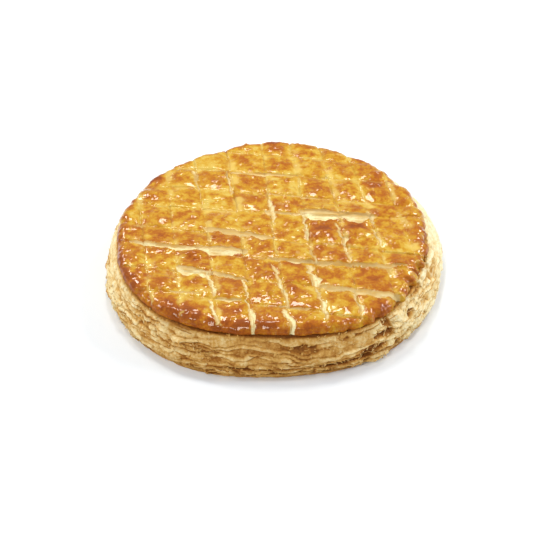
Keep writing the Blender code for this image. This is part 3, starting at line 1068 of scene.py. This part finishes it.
def glaze_material():
    """Egg-glazed crust: golden, browner where toasted, bare and pale in the cuts, with painted shade
    and light.
    """
    recipe = Recipe("egg_glaze")
    names = ("toast", "bare", "cream", "crease", "pale", "shine")
    toast, bare, cream, crease, pale, shine = (recipe.attribute(name) for name in names)
    mottle = recipe.curve(recipe.noise(7, 4), 0.36, 0.64) - 0.5
    fleck = recipe.noise(1.8, 3, seed=3.0) - 0.5
    grain = recipe.noise(0.8, 2, seed=21.0) - 0.5
    browned = toast + 0.34 * mottle + 0.7 * fleck + 0.4 * grain
    glaze = recipe.ramp(browned, GLAZE_STOPS)
    # the gashes' floors, beige to cream, the cream in part painted light on their nearer halves
    dough = recipe.mix(cream, BEIGE, CREAM)
    streaks = recipe.curve(recipe.noise(2.2, 3, (1, 2.5, 1), 5.0), 0.45, 0.7)
    dough = recipe.mix(streaks * 0.35, dough, BEIGE)
    tinge = recipe.curve(recipe.noise(3.4, 3, (0.5, 1.8, 1), 19.0), 0.48, 0.66)
    dough = recipe.mix(tinge * 0.5 * (1 - 0.75 * cream), dough, TAN)
    bare_share = recipe.curve(bare + 0.6 * fleck, 0.3, 0.7)
    # paler glaze by the cuts: part thin glaze, part painted light on the face turned to the lamps
    pale_share = recipe.curve(pale + 1.4 * fleck + 0.3 * mottle, 0.25, 1.0)
    colour = recipe.mix(pale_share * 0.65, glaze, PALE_GLAZE)
    colour = recipe.mix(bare_share, colour, dough)
    # painted shade in creases, cracks and under the gashes' far edges
    colour = recipe.mix(crease * 0.4, colour, CREASE_SHADE)
    # pale blistered skin, in part a painted sheen in place of glints on fine wrinkles
    skin = recipe.curve(recipe.noise(9, 3, seed=15.0), 0.56, 0.68)
    skin = skin * recipe.curve(fleck + 0.5, 0.4, 0.6)
    skin = skin * (1 - recipe.curve(toast, 0.5, 0.8)) * (1 - bare_share)
    colour = recipe.mix(skin * 0.45, colour, PALE_SKIN_SHEEN)
    cluster = recipe.curve(recipe.noise(10, 2, seed=17.0), 0.45, 0.62)
    blister = 1 - recipe.curve(recipe.spots(3.2, 7.0), 0.0, 0.5)
    wrinkles = recipe.noise(2.4, 2, (0.5, 1.3, 1), 9.0)
    relief = cluster * (0.5 * wrinkles + 0.35 * blister) + 0.5 * recipe.noise(6, 2, seed=11.0)
    relief = relief * (0.4 + 0.6 * shine)
    return recipe.finish(
        Base_Color=colour,
        Roughness=0.32 + 0.3 * bare_share + 0.16 * recipe.noise(3, 2, seed=13.0),
        Coat_Weight=shine * (1 - bare_share),
        Coat_Roughness=0.05,
        Coat_IOR=1.38,
        Specular_IOR_Level=0.1,
        Normal=recipe.bump(relief, 0.9, 0.5),
    )


def dough_material(name, browning, darkened_by):
    """Unglazed leaves: cream to tan, speckled with crumbs, darker where browned and where shade is
    painted.

    The last argument names the attribute that darkens them further, if any: painted shade in
    crevices, browned tips.
    """
    recipe = Recipe(name)
    patches = recipe.noise(8, 3, (1, 1, 1.5)) - 0.5
    crumbs = recipe.noise(1.7, 4, seed=4.0) - 0.5
    # the side's browning, with painted shade on its front
    tone = browning + 0.5 * recipe.attribute("baked") + 0.5 * patches + 0.55 * crumbs
    # painted shade in the side's crevices, browned tips on the ribbons
    if darkened_by:
        tone = tone + 0.68 * recipe.attribute(darkened_by)
    colour = recipe.ramp(tone, DOUGH_STOPS)
    relief = 0.6 * recipe.noise(1.1, 4, seed=6.0) + 0.7 * recipe.noise(3.0, 3, (1, 1, 1.4), 8.0)
    return recipe.finish(
        Base_Color=colour,
        Roughness=0.58 + 0.2 * recipe.noise(2, 2, seed=2.0),
        Specular_IOR_Level=0.2,
        Normal=recipe.bump(relief, 0.8, 0.6),
    )


def base_material():
    """The underside: browned by the tray, in slightly uneven patches."""
    recipe = Recipe("tray_baked")
    tone = 0.62 + 0.5 * (recipe.noise(14, 4) - 0.5) + 0.4 * (recipe.noise(2, 3, seed=5.0) - 0.5)
    return recipe.finish(
        Base_Color=recipe.ramp(tone, DOUGH_STOPS),
        Roughness=0.62 + 0.15 * recipe.noise(3, 2),
        Normal=recipe.bump(recipe.noise(1.4, 4, seed=3.0), 0.6, 0.5),
    )


def make_floor():
    """A plain white floor under the tart."""
    half = 3000.0  # millimetres
    corners = np.array([(-half, -half, 0), (half, -half, 0), (half, half, 0), (-half, half, 0)])
    floor = mesh_object("floor", corners, [[0, 1, 2, 3]], smooth=False)
    recipe = Recipe("floor_white")
    recipe.finish(Base_Color=FLOOR_WHITE, Roughness=0.9, Specular_IOR_Level=0.0)
    floor.data.materials.append(recipe.material)


def aim(thing, place, target):
    """Puts a light or camera at a place in metres and points it at a target."""
    thing.location = place
    direction = [end - start for start, end in zip(place, target)]
    flat = math.hypot(direction[0], direction[1])
    tilt = math.atan2(flat, -direction[2])
    thing.rotation_euler = (tilt, 0, math.atan2(-direction[0], direction[1]))
    bpy.context.scene.collection.objects.link(thing)


def make_light(name, place, size, power, colour):
    """A round lamp that points at the middle of the tart."""
    lamp = bpy.data.lights.new(name, "AREA")
    lamp.shape = "DISK"
    lamp.size = size
    lamp.energy = power
    lamp.color = colour
    aim(bpy.data.objects.new(name, lamp), place, (0, 0, 0.02))


def make_studio():
    """White surroundings, and small round lamps on all sides that glint on the glaze."""
    scene = bpy.context.scene
    scene.view_settings.view_transform = "Standard"
    world = bpy.data.worlds.new("studio")
    world.use_nodes = True
    background = world.node_tree.nodes["Background"]
    background.inputs["Color"].default_value = (1, 1, 1, 1)
    background.inputs["Strength"].default_value = 0.36
    scene.world = world
    for lamp in LAMPS:
        make_light(*lamp)


def make_camera():
    """Looks down on the tart from the front, about a metre away."""
    camera = bpy.data.cameras.new("camera")
    camera.sensor_width = 36.0
    camera.lens = 89.4
    elevation = math.radians(40.93)
    distance = 1.05
    target = (-0.0018, -0.0148, 0.0)
    place = (
        target[0],
        target[1] - distance * math.cos(elevation),
        target[2] + distance * math.sin(elevation),
    )
    eye = bpy.data.objects.new("camera", camera)
    aim(eye, place, target)
    bpy.context.scene.camera = eye


make_camera()
make_studio()
make_floor()
# the side's dough is darkened by its painted shade in the crevices
dough = dough_material("flaky_dough", 0.04, "crevice")
leaf_dough = dough_material("leaf_dough", -0.06, "tip")
crumb_dough = dough_material("crumb_dough", 0.16, None)
for piece, material in (
    (build_lid(), glaze_material()),
    (build_side(), dough),
    (build_ribbons(), leaf_dough),
    (build_side_flakes(), crumb_dough),
    (build_base(), base_material()),
):
    piece.data.materials.append(material)
    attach(piece, "root")
    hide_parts("galette")
